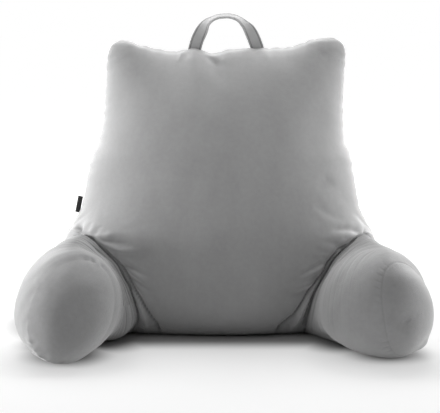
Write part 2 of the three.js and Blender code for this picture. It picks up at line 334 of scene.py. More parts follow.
def doubled(grid):
    """A grid at twice the fineness: new places are the cubic mean (-1, 9, 9, -1) / 16 of their neighbours,
    held at the first and last row and closed around."""
    padded = np.concatenate([grid[:1], grid, grid[-1:]])
    between = (9 * (grid[:-1] + grid[1:]) - padded[:-3] - padded[3:]) / 16
    rows = np.empty((2 * len(grid) - 1, *grid.shape[1:]))
    rows[::2] = grid
    rows[1::2] = between
    across = (9 * (rows + np.roll(rows, -1, 1)) - np.roll(rows, 1, 1) - np.roll(rows, -2, 1)) / 16
    return np.stack([rows, across], 2).reshape(len(rows), -1, rows.shape[-1])


def settle(points, pinned, slack, growth, cap, zipped):
    """How far cloth of this shape moves when the filling presses on it from inside: every second row and
    column runs as cloth with its seams pinned and more cloth where slack is 1. The cap is the most that it
    moves."""
    coarse = points[::2, ::2]
    piece, vertex = closed_mesh("settling", coarse, zipped)
    weigh(piece, "pinned", vertex, pinned[::2, ::2])
    weigh(piece, "slack", vertex, slack[::2, ::2])
    cloth = piece.modifiers.new("settling", "CLOTH")
    for setting, value in CLOTH.items():
        setattr(cloth.settings, setting, value)
    cloth.settings.shrink_max = -growth
    cloth.settings.effector_weights.gravity = 0
    cloth.collision_settings.use_collision = False
    cloth.collision_settings.use_self_collision = False
    cloth.point_cache.frame_start = 1
    cloth.point_cache.frame_end = SETTLE_FRAMES
    for step in range(1, SETTLE_FRAMES + 1):
        bpy.context.scene.frame_set(step)
    settled = piece.evaluated_get(bpy.context.evaluated_depsgraph_get()).to_mesh()
    places = np.empty(len(settled.vertices) * 3, np.float32)
    settled.vertices.foreach_get("co", places)
    moved = ((places.reshape(-1, 3) - SHIFT) / MM)[vertex] - coarse
    bpy.context.scene.frame_set(1)
    bpy.data.objects.remove(piece, do_unlink=True)
    length = np.linalg.norm(moved, axis=-1, keepdims=True)
    return doubled(moved * np.minimum(1, cap * np.tanh(length / cap) / np.maximum(length, SMALL)))


# Back cushion

BACK_AROUND = 400
BACK_UP = 226
BASE_ROWS = 9
BASE_SEAM_ROW = 5
BASE_SEAM_INSET = 6
LOWER_SECTIONS = 8

# Where the grid is closer for the folds: beside the arms, below their tops and near the handle
FOLD_DENSITY = 0.9
FOLD_SIDES = (60, 120)
ARM_FOLDS_TOP = (190, 230)
HANDLE_FOLDS_FOOT = (400, 440)

# Seams of the back, the painted shade along them, and how its relief fades at the floor and the ears
SEAM_DEPTH = 1.6
SEAM_WIDTH = 3.5
SEAM_SHADE = 0.1
SEAM_SHADE_WIDTH = 3
FLOOR_FADE_OUT = (0, 12)
EAR_FADE_OUT = (4, 40)
PANEL_TURN = (0.05, 0.45)
PANEL_FRONT = 0.3
FAR = 99.0

# Puckers along the back's seams: the seam, height, wavelength, reach from the seam, and seed
BACK_PUCKERS = [
    ("side", 0.7, 24, 20, 3), ("side", 0.35, 12, 9, 5), ("top", 0.8, 26, 24, 7), ("top", 0.4, 13, 11, 9),
    ("base", 1.2, 26, 16, 11),
]
SIDE_PUCKER_RISE = (4, 30)

# Unevenness near the arms' roots with its reach, and of the whole filling: height, wavelength and seed
ROOT_UNEVEN = [(0.9, 22, 13)]
ROOT_UNEVEN_REACH = 30
BACK_UNEVEN = [(1.0, 150, 15), (0.35, 60, 17)]

# Deep creases at the front panel's edges beside the arms, as lines in the front view (x, z)
PANEL_EDGES = {
    "left": [
        (-240, 168), (-221, 162), (-206, 154), (-191, 145), (-175, 131), (-162, 117), (-152, 100),
        (-143, 82), (-133, 64), (-124, 48), (-117, 36), (-109, 23), (-98, -4),
    ],
    "right": [
        (252, 164), (227, 157), (200, 145), (182, 126), (172, 108), (159, 93), (146, 73), (134, 52),
        (125, 38), (115, 30), (101, 16), (90, -4),
    ],
}

# Each crease as a narrow cut in a wide dip: depth of the cut, depth of the dip and its width
PANEL_CREASE = (6.0, 0.8, 10)
ROOT_CREASE = (4.5, 1.0, 14)
CREASE_WIDTH = 2.2
# Width of the painted shade along the creases
CREASE_SHADE = 2.4

# The gusset between the two creases: a ridge and a bulge with their widths and reaches, and its painted light
GUSSET_RIDGE = (5.0, 4, 18)
GUSSET_BULGE = (5.0, 9, 45)
GUSSET_PAINTED_LIGHT = 0.45
# Painted shade along the folds' troughs: strength per mm of depth and the core's share of the width; and the
# share of a fold's line over which it fades out
TROUGH_SHADE = 0.066
TROUGH_CORE = 0.5
FOLD_TAPER = (0.3, 1.0)

# Folds of the front panel: their line in the front view (x, z), width, and raise, outwards or as a trough
FRONT_FOLDS = {
    "left panel roll": ([
        (-214, 174), (-190, 165), (-166, 145), (-150, 124), (-137, 96), (-120, 58), (-106, 20), (-97, -4),
    ], 11, 2.6),
    "left gusset ridge": ([(-145, 76), (-133, 45), (-121, 10)], 5, 2.2),
    "left notch": ([(-246, 174), (-234, 171)], 5, -7.0),
    "left upper ridge": ([(-206, 157), (-180, 170), (-146, 178)], 6, 2.0),
    "left upper trough": ([(-198, 160), (-170, 159), (-140, 160)], 5, -3.6),
    "left middle ridge": ([(-200, 154), (-174, 146), (-147, 144), (-92, 139)], 6, 5.5),
    "left first trough": ([(-171, 127), (-140, 114), (-108, 103)], 4.5, -5.0),
    "left second trough": ([(-166, 119), (-130, 89), (-100, 74)], 4.5, -5.5),
    "left second ridge": ([(-166, 122), (-135, 102), (-104, 88)], 5, 3.0),
    "left low trough": ([(-150, 92), (-130, 66), (-110, 48)], 5, -3.6),
    "right panel roll": ([
        (222, 172), (196, 158), (171, 132), (150, 102), (130, 68), (113, 38), (92, -4),
    ], 11, 2.2),
    "right gusset ridge": ([(146, 62), (134, 34), (119, 12)], 6, 2.2),
    "right upper trough": ([(249, 167), (214, 176), (166, 179)], 6, -4.0),
    "right upper ridge": ([(238, 162), (208, 168), (168, 171)], 6, 1.0),
    "right middle trough": ([(168, 122), (146, 112), (120, 103)], 4.5, -3.0),
    "right middle ridge": ([(171, 117), (146, 104), (118, 95)], 4, 3.4),
    "right low ridge": ([(157, 93), (134, 87), (108, 82)], 4.5, 3.0),
    "right low trough": ([(150, 82), (128, 74), (104, 70)], 5, -2.6),
    "right dent": ([(180, 250), (198, 266)], 20, -2.6),
    "right side ridge": ([(176, 232), (200, 246)], 12, 1.4),
    "bright pleat": ([(-60, 482), (-66, 470), (-76, 450)], 2.6, 2.0),
    "left leg trough": ([(-55, 478), (-62, 452)], 4, -1.2),
    "under leg ridge": ([(-44, 474), (-46, 446)], 4, 0.9),
    "under leg trough": ([(-36, 474), (-38, 440)], 6, -0.9),
    "handle fold": ([(-20, 470), (-12, 465), (7, 456), (14, 452)], 4, 2.2),
    "handle fold shade": ([(-18, 462), (-8, 456), (8, 446)], 6, -1.4),
    "handle trough": ([(-7, 455), (3, 425), (4, 404)], 9, -2.0),
    "right leg trough": ([(62, 476), (66, 452)], 6, -1.0),
    "right leg ridge": ([(76, 478), (86, 458), (94, 450)], 6, 1.0),
    "left ear fold": ([(-160, 462), (-146, 448), (-128, 432)], 14, -1.0),
    "right ear fold": ([(176, 464), (160, 448), (138, 434)], 14, -1.0),
}

# Painted shade at the seams' ends, where the cloth pinches in: place in the front view, radius and shade
PINCH_SHADES = [("left", (-251, 170), 5, 0.8), ("left tip", (-245, 174), 3.5, 0.9)]

# Folds of the rear panel in the same view, which hang from the ears and gather over the base
REAR_FOLDS = {
    "left ear fold": ([(-178, 470), (-138, 426), (-112, 372)], 20, -2.6),
    "right ear fold": ([(190, 470), (150, 424), (122, 368)], 20, -2.6),
    "left side fold": ([(-226, 214), (-176, 196), (-122, 198)], 18, -2.2),
    "right side fold": ([(226, 226), (180, 206), (120, 204)], 18, -2.2),
    "left base fold": ([(-232, 34), (-176, 62), (-120, 70)], 18, 2.4),
    "right base fold": ([(228, 30), (166, 58), (108, 64)], 18, 2.4),
    "handle fold": ([(-44, 468), (-38, 430), (-24, 396)], 14, -1.8),
    "second handle fold": ([(62, 470), (54, 428), (36, 392)], 14, -1.8),
}


def back_level(column, row):
    """A column of the back's table between its sections."""
    return smooth_curve(np.arange(len(BACK_SECTIONS), dtype=float), BACK[column], row)


def back_surface(turn, row, spread=1.0):
    """Level superellipse sections: cosine and sine of the turn to fixed powers, times the half width and the
    bulge, about the side seam, with the top edge's lift added towards the top."""
    across = spread * signed_power(np.cos(turn), 2 / BACK_SQUARE)
    deep = spread * signed_power(np.sin(turn), 2 / BACK_ROUND)
    x = back_level("middle", row) + back_level("half", row) * across
    height = back_level("height", row)
    sag = np.clip((height - LIFT_START) / (BACK_TOP - LIFT_START), 0, 1) ** 2
    z = height + sag * smooth_curve(TOP_EDGE[:, 0], TOP_EDGE[:, 1], x)
    bulge = np.where(deep < 0, back_level("front", row), back_level("rear", row))
    return np.stack(np.broadcast_arrays(x, back_level("seam", row) + bulge * deep, z), -1)


def back_depth(points):
    """Superellipse value of points against the back's level section: under 1 inside, over 1 outside."""
    row = smooth_curve(BACK["height"], np.arange(len(BACK_SECTIONS), dtype=float), points[..., 2])
    deep = points[..., 1] - back_level("seam", row)
    bulge = np.where(deep < 0, back_level("front", row), back_level("rear", row))
    across = (points[..., 0] - back_level("middle", row)) / back_level("half", row)
    return np.abs(across) ** BACK_SQUARE + np.abs(deep / np.maximum(bulge, LEAST_BULGE)) ** BACK_ROUND


def back_grid():
    """Grid over the whole back: the base from its middle out, then the sections up to the zipped top seam,
    with places closer where folds lie. The first column and the one half way round are the side seams."""
    fine = np.linspace(0, np.pi, FINE)
    half_ring = np.stack([
        signed_power(np.cos(fine), 2 / BACK_SQUARE) * BACK["half"].mean(),
        signed_power(np.sin(fine), 2 / BACK_ROUND) * BACK["front"][:LOWER_SECTIONS].mean(),
    ], -1)
    dense = 1 + FOLD_DENSITY * smoothstep(np.abs(half_ring[:-1, 0]), *FOLD_SIDES)
    half_turns = even_places(half_ring, BACK_AROUND // 2 + 1, dense) * np.pi
    turns = np.concatenate([half_turns[:-1], 2 * np.pi - half_turns[:0:-1]])
    last = len(BACK_SECTIONS) - 1.0
    profile = back_surface(np.array([1.5 * np.pi]), np.linspace(0, last, FINE)[:, None])[:, 0]
    height = profile[:-1, 2]
    folded = 1 - smoothstep(height, *ARM_FOLDS_TOP) + smoothstep(height, *HANDLE_FOLDS_FOOT)
    rows = even_places(profile, BACK_UP, 1 + FOLD_DENSITY * folded)[:, None] * last
    spreads = np.linspace(0, 1, BASE_ROWS + 1)[:-1, None]
    base = back_surface(turns[None], np.zeros((BASE_ROWS, 1)), spreads)
    return np.concatenate([base, back_surface(turns[None], rows)])


def folds_relief(points, folds):
    """Sum of the folds' bells about their lines in the front view, and the shade along its troughs."""
    view = points[..., [0, 2]]
    relief = np.zeros(points.shape[:-1])
    shade = np.zeros(points.shape[:-1])
    for line, width, raised in folds.values():
        away, share = line_place(view, np.array(line, float))
        fade = 1 - smoothstep(share, *FOLD_TAPER)
        relief += fade * raised * bell(away, width)
        shade += fade * max(-raised, 0) * TROUGH_SHADE * bell(away, TROUGH_CORE * width)
    return relief, shade


def seam_distances(points):
    """Distances over the back from the side seams, the top seam and the base's edge, and the lengths around
    it and up it."""
    around, total = along_rows(points)
    half = points.shape[1] // 2
    from_right = np.minimum(around, total - around)
    from_left = np.abs(around - around[:, half:half + 1])
    up = along_columns(points)
    from_base = np.abs(up - up[BASE_ROWS + BASE_SEAM_ROW])
    return np.minimum(from_right, from_left), up[-1] - up, from_base, around, up


def ear_distance(points):
    """Distance from the nearer ear, the corner where a side seam meets the top seam."""
    ears = points[-1, [0, points.shape[1] // 2]]
    return np.minimum.reduce([np.linalg.norm(points - ear, axis=-1) for ear in ears])


def creased(distance, crease):
    """A crease's depth at a distance from its line: an exponential cut in a bell-shaped dip."""
    cut, dip, dip_width = crease
    return cut * np.exp(-distance / CREASE_WIDTH) + dip * bell(distance, dip_width)


def back_relief(points, root_seams):
    """Height of the sewing over the smooth back, and its painted shade: grooves and puckers along the seams,
    the panels' folds, the creases round the arms' roots and beside the front panel with a gusset between
    them, and a soft unevenness of the filling; the shade is painted in the seams, troughs, creases and
    pinches."""
    normals = grid_normals(points)
    front = smoothstep(-normals[..., 1], *PANEL_TURN)
    rear = smoothstep(normals[..., 1], *PANEL_TURN)
    side, top, base, around, up = seam_distances(points)
    edge = np.minimum(side, np.minimum(top, base + BASE_SEAM_INSET))
    relief = -SEAM_DEPTH * bell(edge, SEAM_WIDTH)
    seams = {
        "side": (side, up[..., None], smoothstep(points[..., 2], *SIDE_PUCKER_RISE)),
        "top": (top, points[..., :1], 1.0),
        "base": (base, around[..., None], 1.0),
    }
    for seam, height, wavelength, reach, seed in BACK_PUCKERS:
        away, along, strength = seams[seam]
        relief += height * ripple(along, wavelength, seed) * np.exp(-away / reach) * strength
    front_folds, front_shade = folds_relief(points, FRONT_FOLDS)
    rear_folds, rear_shade = folds_relief(points, REAR_FOLDS)
    relief += front * front_folds + rear * rear_folds
    view = points[..., [0, 2]]
    panel = np.minimum.reduce([line_distance(view, np.array(line, float)) for line in PANEL_EDGES.values()])
    panel = np.where(front > PANEL_FRONT, panel, FAR)
    root = np.minimum.reduce([line_distance(points, seam) for seam in root_seams])
    relief -= creased(panel, PANEL_CREASE) + creased(root, ROOT_CREASE)
    ridge, ridge_width, ridge_reach = GUSSET_RIDGE
    bulge, bulge_width, bulge_reach = GUSSET_BULGE
    gusset = bell(root - panel, bulge_width) * bell(root + panel, bulge_reach)
    relief += ridge * bell(root - panel, ridge_width) * np.exp(-(root + panel) / ridge_reach) + bulge * gusset
    relief += ripples(points, ROOT_UNEVEN) * np.exp(-root / ROOT_UNEVEN_REACH) + ripples(points, BACK_UNEVEN)
    off_ears = smoothstep(ear_distance(points), *EAR_FADE_OUT)
    relief *= smoothstep(points[..., 2], *FLOOR_FADE_OUT) * off_ears
    # Painted shade: darker in the fold troughs, along the seams and creases and at the pinches, lighter on
    # the gusset
    shades = [
        front * front_shade + rear * rear_shade,
        SEAM_SHADE * np.exp(-edge / SEAM_SHADE_WIDTH),
        np.exp(-np.minimum(root, panel) / CREASE_SHADE),
    ]
    for _, place, radius, painted_darkening in PINCH_SHADES:
        shades.append(painted_darkening * front * bell(np.linalg.norm(view - np.array(place), axis=-1), radius))
    return relief, np.maximum.reduce(shades) * off_ears - GUSSET_PAINTED_LIGHT * gusset


# Arms

ARM_AROUND = 288
SLEEVE_ROWS = 200
CAP_ROWS = 84
ROOT_ROWS = 7
CAP_SEAM_ROW = ROOT_ROWS + SLEEVE_ROWS - 1
ROOT_TUCK = 0.08
ROOT_SEAM_STEP = 4
ROOT_SEARCH = np.linspace(0, 0.9, 361)
ARM_LENGTH = 350
CAP_RADIUS = 70

# Where each arm is puckered along its cap seam and creased round its neck: turns in degrees about the sleeve,
# 0 to the right, 90 at the top; how far round the mark spreads, and how strong it is
CAP_PUCKERS = {
    "arm_left": [
        ("upper inner", 62, 20, 1.4), ("upper outer", 140, 14, 1.0), ("outer", 175, 24, 0.7),
        ("lower outer", 222, 18, 3.6), ("under", 262, 22, 1.4),
    ],
    "arm_right": [
        ("upper inner", 130, 26, 0.3), ("lower inner", 214, 26, 0.4), ("lower outer", 306, 18, 3.2),
    ],
}
PLAIN_PUCKER = 0.1
PUCKER_REACH = (16, 9)
PUCKER_STRETCH = 0.35
PUCKER_WAVES = [(0.7, 13, 21), (0.8, 27, 23)]
# Painted shade in the puckers' troughs
PUCKER_SHADE = 0.4
NECK_FOLDS = {
    "arm_left": [("inner", 20, 60, 1.1), ("top", 95, 40, 1.2)],
    "arm_right": [("inner", 165, 60, 0.3), ("top", 105, 36, 1.7)],
}
PLAIN_NECK = 0.15
NECK_START = (2, 14)
NECK_REACH = 90
NECK_END = (8, 40)
NECK_STRETCH = 0.14
NECK_WAVES = [(1.6, 36, 25), (0.6, 13, 27)]

# Sharp lines of the neck where a ripple crosses 0: its wavelength and seed, their width, depth and shade
NECK_LINES = [(44, 33, 0.15, 2.6, 0.55), (17, 35, 0.3, 1.0, 0.36)]

# Groove of each root seam: depth and width, and the width of its shade
ROOT_GROOVE = (2.4, 2.6)
ROOT_GROOVE_SHADE = 2.5

# Painted shade at the foot of each root, where the floor and the gusset close round it: turn, spread and
# strength
ROOT_SHADES = {
    "arm_left": [("lower inner", 335, 25, 0.3)],
    "arm_right": [("lower inner", 208, 28, 0.5)],
}
ROOT_SHADE_REACH = 30

# How far each cap seam bows over the end on its inner side
SEAM_BOW = {"arm_left": 0.0, "arm_right": 16.0}

# How deep each cap seam is drawn in, the groove's width, and its shade and the shade's width
SEAM_GROOVE = {"arm_left": 0.08, "arm_right": 0.6}
GROOVE_WIDTH = 1.6
GROOVE_SHADE = (0.3, 1.5)

# How often each cap's edge is smoothed, and how many rows about it
CAP_ROUNDING = {"arm_left": 0, "arm_right": 36}
CAP_ROUNDED_ROWS = 16

# Stitches that pull ticks into the sleeve beside each cap seam: turn, spread and depth
SEAM_TICKS = {
    "arm_left": [],
    "arm_right": [("upper inner", 138, 24, 1.0), ("lower inner", 226, 14, 0.8)],
}
TICK_PITCH = 11.0
TICK_LENGTH = 6.0
TICK_SHARPNESS = 3
TICK_SHADE = 0.2

# Soft dents and bulges of the arms: place, radius, raise, and the painted shade in the dent
ARM_DENTS = {
    "arm_left": [
        ("cap hollow", (-215, -310, 118), 34, -2.0, 0), ("cap chin", (-240, -300, 34), 26, 1.5, 0),
        ("inner foot", (-170, -128, 26), 32, 13.0, 0),
    ],
    "arm_right": [
        ("cap dent", (291, -297, 73), 14, -3.0, 0.22), ("heel", (323, -230, 22), 15, 5.0, 0),
        ("heel fold", (316, -246, 36), 9, -4.0, 0.25), ("cap brow", (276, -290, 132), 26, 1.5, 0),
        ("inner foot", (196, -150, 22), 32, -9.0, 0),
    ],
}

# Unevenness of the filling: height, wavelength and seed
ARM_UNEVEN = [(0.9, 110, 29), (0.35, 45, 31)]
ARM_FLOOR_FADE = (0, 10)
ARM_HIDDEN = 2


def arm_level(column, share):
    """A column of the arms' table between its sections."""
    return smooth_curve(ARM["share"], ARM[column], share)


def arm_surface(arm, turn, share, shrink=1.0, crown=0.0):
    """A flattened round section carried along a cubic Bezier curve in plan. Upper and lower halves are
    superellipses about the widest height, cut off at the floor; the neck is drawn in near the root, the lean
    shifts the top sideways, the tilt sets it back towards the cap and the toe widens the inner foot; shrink
    and crown close the end cap."""
    turn, share = np.broadcast_arrays(turn, share)
    shrink = shrink * (1 - around_marks(arm["neck"], turn) * (1 - smoothstep(share, *arm["neck_shares"])))
    start, first, second, end = np.array(arm["route"], float)
    s = share[..., None]
    r = 1 - s
    place = r ** 3 * start + 3 * s * r ** 2 * first + 3 * s ** 2 * r * second + s ** 3 * end
    tangent = r ** 2 * (first - start) + 2 * s * r * (second - first) + s ** 2 * (end - second)
    forward = tangent / np.linalg.norm(tangent, axis=-1, keepdims=True)
    forward_x = forward[..., 0]
    forward_y = forward[..., 1]
    up = np.sin(turn)
    fullness = 2 / np.where(up < 0, ARM_SQUASH, ARM_ROUND)
    widest = arm_level("widest", share)
    top_reach = arm_level("top", share) - widest
    reach = np.where(up < 0, widest - arm_level("under", share), top_reach)
    z = np.maximum(widest + shrink * reach * signed_power(up, fullness), 0)
    inward = np.maximum(-arm["side"] * np.cos(turn), 0)
    toe_fade = np.maximum(1 - share / TOE_SHARE, 0) * np.maximum(1 - z / TOE_HEIGHT, 0)
    toe = arm["toe"] * inward * shrink * toe_fade
    lean = (arm["root_lean"] + (arm["cap_lean"] - arm["root_lean"]) * share) * (z - widest) / top_reach
    width = 1 + (arm["root_width"] - 1) * (1 - smoothstep(share, *ROOT_SHARES))
    half = shrink * width * arm_level("half", share) * signed_power(np.cos(turn), fullness)
    offset = half - arm["side"] * (toe + lean)
    push = crown - arm["cap_tilt"] * smoothstep(share, *TILT_SHARES) * (z - widest) / top_reach
    x = place[..., 0] - forward_y * offset + forward_x * push
    y = place[..., 1] + forward_x * offset + forward_y * push
    return np.stack([x, y, z], -1)


def arm_turns():
    """Turns at which a round section has points at even lengths."""
    fine = np.linspace(0, 2 * np.pi, 2 * FINE - 1)
    ring = signed_power(np.stack([np.cos(fine), np.sin(fine)], -1), 2 / ARM_ROUND)
    return even_places(ring, ARM_AROUND + 1)[:-1] * 2 * np.pi


def root_shares(arm, turns):
    """The share at which each column of an arm leaves the back: the last one inside the back's sections,
    refined by the straight line to the next one."""
    depth = back_depth(arm_surface(arm, turns[None], ROOT_SEARCH[:, None])) - 1
    last = len(ROOT_SEARCH) - 2 - np.argmax((depth[:-1] < 0)[::-1], axis=0)
    column = np.arange(len(turns))
    before = depth[last, column]
    after = depth[last + 1, column]
    return ROOT_SEARCH[last] + ROOT_SEARCH[1] * before / (before - after)


def rounded_edge(points, row, rounds):
    """Rounds the edge at a row: each round moves the rows about it towards the mean of their neighbours."""
    weight = bell(np.arange(len(points)) - row, CAP_ROUNDED_ROWS)[1:-1, None, None]
    rounded = points.copy()
    for _ in range(rounds):
        rounded[1:-1] += weight * ((rounded[:-2] + rounded[2:]) / 2 - rounded[1:-1])
    return rounded


def arm_grid(arm, turns, roots, rounds):
    """Grid over an arm: its hidden root from the middle out, the sleeve from the root to the cap seam, and
    the crowned cap to its middle, with its edge rounded. Also the share of each row and column."""
    start = roots - ROOT_TUCK
    shares = start + (1 - start) * np.linspace(0, 1, SLEEVE_ROWS)[:, None]
    sleeve = arm_surface(arm, turns[None], shares)
    inner = np.linspace(0, 1, ROOT_ROWS + 1)[:-1, None, None]
    middle = sleeve[0].mean(0)
    root = middle + inner * (sleeve[0] - middle)
    shrink = np.linspace(1, 0, CAP_ROWS + 1)[1:, None]
    crown = CAP_CROWN * (1 - shrink ** CAP_FULLNESS)
    cap = arm_surface(arm, turns[None], np.ones_like(shrink), shrink, crown)
    shares = np.concatenate([np.repeat(shares[:1], ROOT_ROWS, 0), shares, np.ones((CAP_ROWS, len(turns)))])
    return rounded_edge(np.concatenate([root, sleeve, cap]), CAP_SEAM_ROW, rounds), shares


def around_marks(marks, turns):
    """Sum of bells over the turns, each about its direction and closed around."""
    turned = np.degrees(turns)
    return sum(strength * bell((turned - degrees + 180) % 360 - 180, spread)
               for _, degrees, spread, strength in marks)


def arm_relief(name, points, shares, turns, roots):
    """Height of the sewing over a smooth arm, its painted shade, and the distances from the cap seam and the
    root
    seam: the cap seam's groove with puckers and ticks across it, folds round the neck that follow the root
    seam, soft dents, and painted shade in their troughs and lines and at the foot of the root."""
    up = along_columns(points)
    inner_side = np.maximum(-ARMS[name]["side"] * np.cos(turns), 0) ** 2
    from_cap = up - up[CAP_SEAM_ROW] - SEAM_BOW[name] * inner_side
    from_root = (shares - roots) * ARM_LENGTH
    past_root = np.maximum(from_root, 0)
    ring = np.broadcast_to(turns * CAP_RADIUS, shares.shape)
    on_sleeve, on_cap = PUCKER_REACH
    near_cap = np.exp(from_cap / np.where(from_cap < 0, on_sleeve, -on_cap))
    pucker = near_cap * (PLAIN_PUCKER + around_marks(CAP_PUCKERS[name], turns))
    puckers = pucker * ripples(np.stack([ring, from_cap * PUCKER_STRETCH], -1), PUCKER_WAVES)
    neck = np.exp(-past_root / NECK_REACH) * (PLAIN_NECK + around_marks(NECK_FOLDS[name], turns))
    neck *= smoothstep(from_root, *NECK_START) * smoothstep(-from_cap, *NECK_END)
    folded = np.stack([from_root, ring * NECK_STRETCH], -1)
    gathers = neck * ripples(folded, NECK_WAVES)
    line_shade = PUCKER_SHADE * np.maximum(-puckers, 0)
    for wavelength, seed, width, depth, dark in NECK_LINES:
        line = neck * np.exp(-np.abs(ripple(folded, wavelength, seed)) / width)
        gathers -= depth * line
        line_shade += dark * line
    dashes = np.maximum(np.cos(2 * np.pi * ring / TICK_PITCH), 0) ** TICK_SHARPNESS
    ticks = around_marks(SEAM_TICKS[name], turns) * bell(from_cap + TICK_LENGTH, TICK_LENGTH) * dashes
    root_depth, root_width = ROOT_GROOVE
    relief = puckers + gathers - ticks - SEAM_GROOVE[name] * bell(from_cap, GROOVE_WIDTH)
    relief += ripples(points, ARM_UNEVEN) - root_depth * np.exp(-np.abs(from_root) / root_width)
    # Painted shade: darker in pucker troughs and neck lines, at the ticks, along both grooves, at the root's
    # foot and in dents
    dark_seam, dark_width = GROOVE_SHADE
    shades = [
        line_shade,
        TICK_SHADE * ticks,
        dark_seam * SEAM_GROOVE[name] * bell(from_cap, dark_width),
        bell(from_root, ROOT_GROOVE_SHADE),
        around_marks(ROOT_SHADES[name], turns) * np.exp(-past_root / ROOT_SHADE_REACH),
    ]
    for _, place, radius, raised, dark in ARM_DENTS[name]:
        near = bell(np.linalg.norm(points - np.array(place, float), axis=-1), radius)
        relief += raised * near
        shades.append(dark * near)
    relief = np.where(from_root < -ARM_HIDDEN, 0, relief) * smoothstep(points[..., 2], *ARM_FLOOR_FADE)
    return relief, np.maximum.reduce(shades), from_cap, from_root


# Handle strap

STRAP_AROUND = 64
STRAP_ALONG = 260
STRAP_SQUARE = 5
HEADING_STEP = 0.001
STRAP_SWAY = [(0.35, 26, 41)]
STRAP_GROOVE_SHADE = 0.8
STITCH_INSET = 3.2
STITCH_PITCH = 3.4
STITCH_SIZE = np.array([2.4, 0.8, 0.6])
STITCHED_SHARES = (0.1, 0.9)
STITCH_LIFT = 0.84
STITCH_TURNS = 8
STITCH_RINGS = 5

# Stitched groove and rolled hem of the strap: place from the edge, width, and share of the thickness
STRAP_RELIEF = [("groove", STITCH_INSET, 1.0, -0.24), ("hem", 1.2, 1.2, 0.12)]


def strap_frame(at):
    """Middle line of the strap, its heading, its directions along its width and through its thickness, and
    its length: the width turns from the front view to the rear by the roll."""
    stations = np.stack([
        STRAP_STATIONS[:, 0], np.full(len(STRAP_STATIONS), STRAP_DEPTH), STRAP_BASE + STRAP_STATIONS[:, 1],
    ], -1)
    chords = np.concatenate([[0], np.cumsum(np.linalg.norm(np.diff(stations, axis=0), axis=1))])
    places = chords / chords[-1]
    middle = flowing_curve(places, stations, at)
    heading = flowing_curve(places, stations, np.minimum(at + HEADING_STEP, 1))
    heading = heading - flowing_curve(places, stations, np.maximum(at - HEADING_STEP, 0))
    heading /= np.linalg.norm(heading, axis=-1, keepdims=True)
    roll = np.radians(smooth_curve(places, STRAP_STATIONS[:, 2], at))[:, None]
    outward = np.stack([-heading[:, 2], np.zeros(len(at)), heading[:, 0]], -1)
    wide = outward * np.cos(roll) + np.array([0.0, 1.0, 0.0]) * np.sin(roll)
    return middle, heading, wide, np.cross(heading, wide), chords[-1]


def flat_loop(width, thick, square, turns):
    """A flat superellipse about its middle: its place across and through at each turn."""
    across = width / 2 * signed_power(np.cos(turns), 2 / square)
    return across, thick / 2 * signed_power(np.sin(turns), 2 / square)


def strap_grid():
    """A flat superellipse section carried along the strap's line, with a stitched groove and a rolled hem
    near each edge, a slight sway and closed ends. Also the section's places across."""
    at = np.linspace(0, 1, STRAP_ALONG)
    middle, _, wide, thick, length = strap_frame(at)
    loop = flat_loop(STRAP_WIDTH, STRAP_THICK, STRAP_SQUARE, np.linspace(0, 2 * np.pi, 2 * FINE - 1))
    turns = even_places(np.stack(loop, -1), STRAP_AROUND + 1)[:-1] * 2 * np.pi
    across, through = flat_loop(STRAP_WIDTH, STRAP_THICK, STRAP_SQUARE, turns)
    from_edge = STRAP_WIDTH / 2 - np.abs(across)
    raised = sum(share * bell(from_edge - inset, width) for _, inset, width, share in STRAP_RELIEF)
    through = through * (1 + raised)
    ends = np.ones((STRAP_ALONG, 1))
    ends[[0, -1]] = 0
    sway = ripples((at * length)[:, None], STRAP_SWAY)[:, None]
    sideways = (across * ends)[..., None] * wide[:, None]
    return middle[:, None] + sideways + (through * ends + sway)[..., None] * thick[:, None], across


def strap_stitches():
    """Centres and directions of the stitches along both edges and on both faces of the strap that shows."""
    length = strap_frame(np.array([0.5]))[4]
    middle, heading, wide, thick, _ = strap_frame(np.arange(*STITCHED_SHARES, STITCH_PITCH / length))
    reach = STRAP_WIDTH / 2 - STITCH_INSET
    lift = STRAP_THICK / 2 * STITCH_LIFT
    places = [middle + side * reach * wide + face * lift * thick for side in (-1, 1) for face in (-1, 1)]
    return np.concatenate(places), *(np.tile(way, (len(places), 1)) for way in (heading, wide, thick))


def joined_stitches(name, centres, heading, wide, thick):
    """One mesh of many stitches, each an ellipsoid: rings of turns about its thread, closed by a point at
    each end."""
    turns = np.arange(STITCH_TURNS) * 2 * np.pi / STITCH_TURNS
    lean = np.linspace(-np.pi / 2, np.pi / 2, STITCH_RINGS + 2)[1:-1, None]
    around = np.cos(lean) * np.cos(turns), np.cos(lean) * np.sin(turns)
    rings = np.stack(np.broadcast_arrays(np.sin(lean), *around), -1)
    shape = np.concatenate([[(-1, 0, 0)], rings.reshape(-1, 3), [(1, 0, 0)]]) * STITCH_SIZE / 2
    vertices = centres[:, None] + shape @ np.stack([heading, wide, thick], 1)
    ring = 1 + np.arange(STITCH_RINGS * STITCH_TURNS).reshape(STITCH_RINGS, STITCH_TURNS)
    right = np.roll(ring, -1, axis=1)
    sides = np.stack([ring[:-1], right[:-1], right[1:], ring[1:]], -1).reshape(-1, 4)
    first_end = np.stack([np.zeros_like(ring[0]), right[0], ring[0]], -1)
    last_end = np.stack([ring[-1], right[-1], np.full_like(ring[0], len(shape) - 1)], -1)
    starts = np.arange(len(centres))[:, None, None] * len(shape)
    faces = (sides + starts).reshape(-1, 4).tolist()
    faces += (np.concatenate([first_end, last_end]) + starts).reshape(-1, 3).tolist()
    mesh = bpy.data.meshes.new(name)
    mesh.from_pydata((vertices.reshape(-1, 3) * MM + SHIFT).tolist(), [], faces)
    mesh.polygons.foreach_set("use_smooth", np.ones(len(mesh.polygons), bool))
    mesh.update()
    return placed(name, mesh)


# Side label

LABEL_AROUND = 48
LABEL_ROWS = 40
LABEL_SQUARE = 4
LABEL_CURL = 0.5


